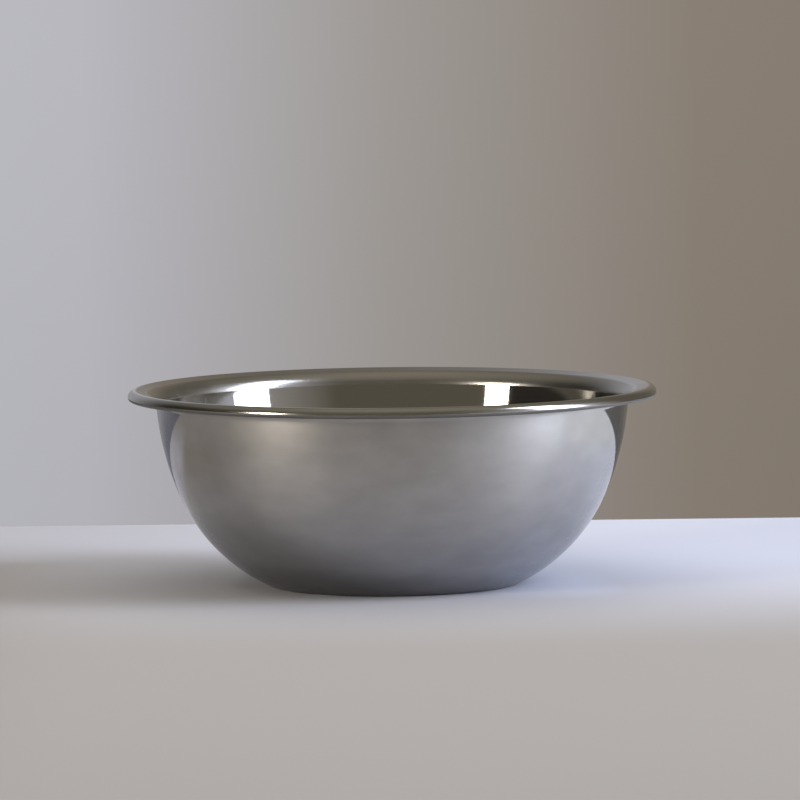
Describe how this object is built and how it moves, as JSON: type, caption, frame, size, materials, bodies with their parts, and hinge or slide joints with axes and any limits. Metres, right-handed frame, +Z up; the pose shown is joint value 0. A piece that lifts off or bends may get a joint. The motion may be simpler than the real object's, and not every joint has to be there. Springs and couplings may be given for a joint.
{
  "type": "mixing bowl",
  "caption": "Round stainless steel mixing bowl with a curved wall, a flat foot, a flared lip and a hollow rolled rim.",
  "frame": {"origin": "middle of the foot's underside, on the table", "axes": "+Z up along the bowl's axis of revolution; +X and +Y are any two directions across it"},
  "size_m": [0.27, 0.27, 0.1007],
  "materials": {
    "satin_steel": "satin outside of the drawn wall, mirror-polished inside",
    "rim_steel": "fine satin on the lip, polished on the roll",
    "mirror_steel": "mirror-polished inside of the bowl"
  },
  "bodies": {
    "root": {"base_panel": "mirror_steel", "foot_ring": "satin_steel", "lower_wall": "satin_steel", "middle_wall": "satin_steel", "upper_wall": "satin_steel", "lip_bend": "rim_steel", "lip": "rim_steel", "rolled_rim": "rim_steel"}
  },
  "joints": []
}
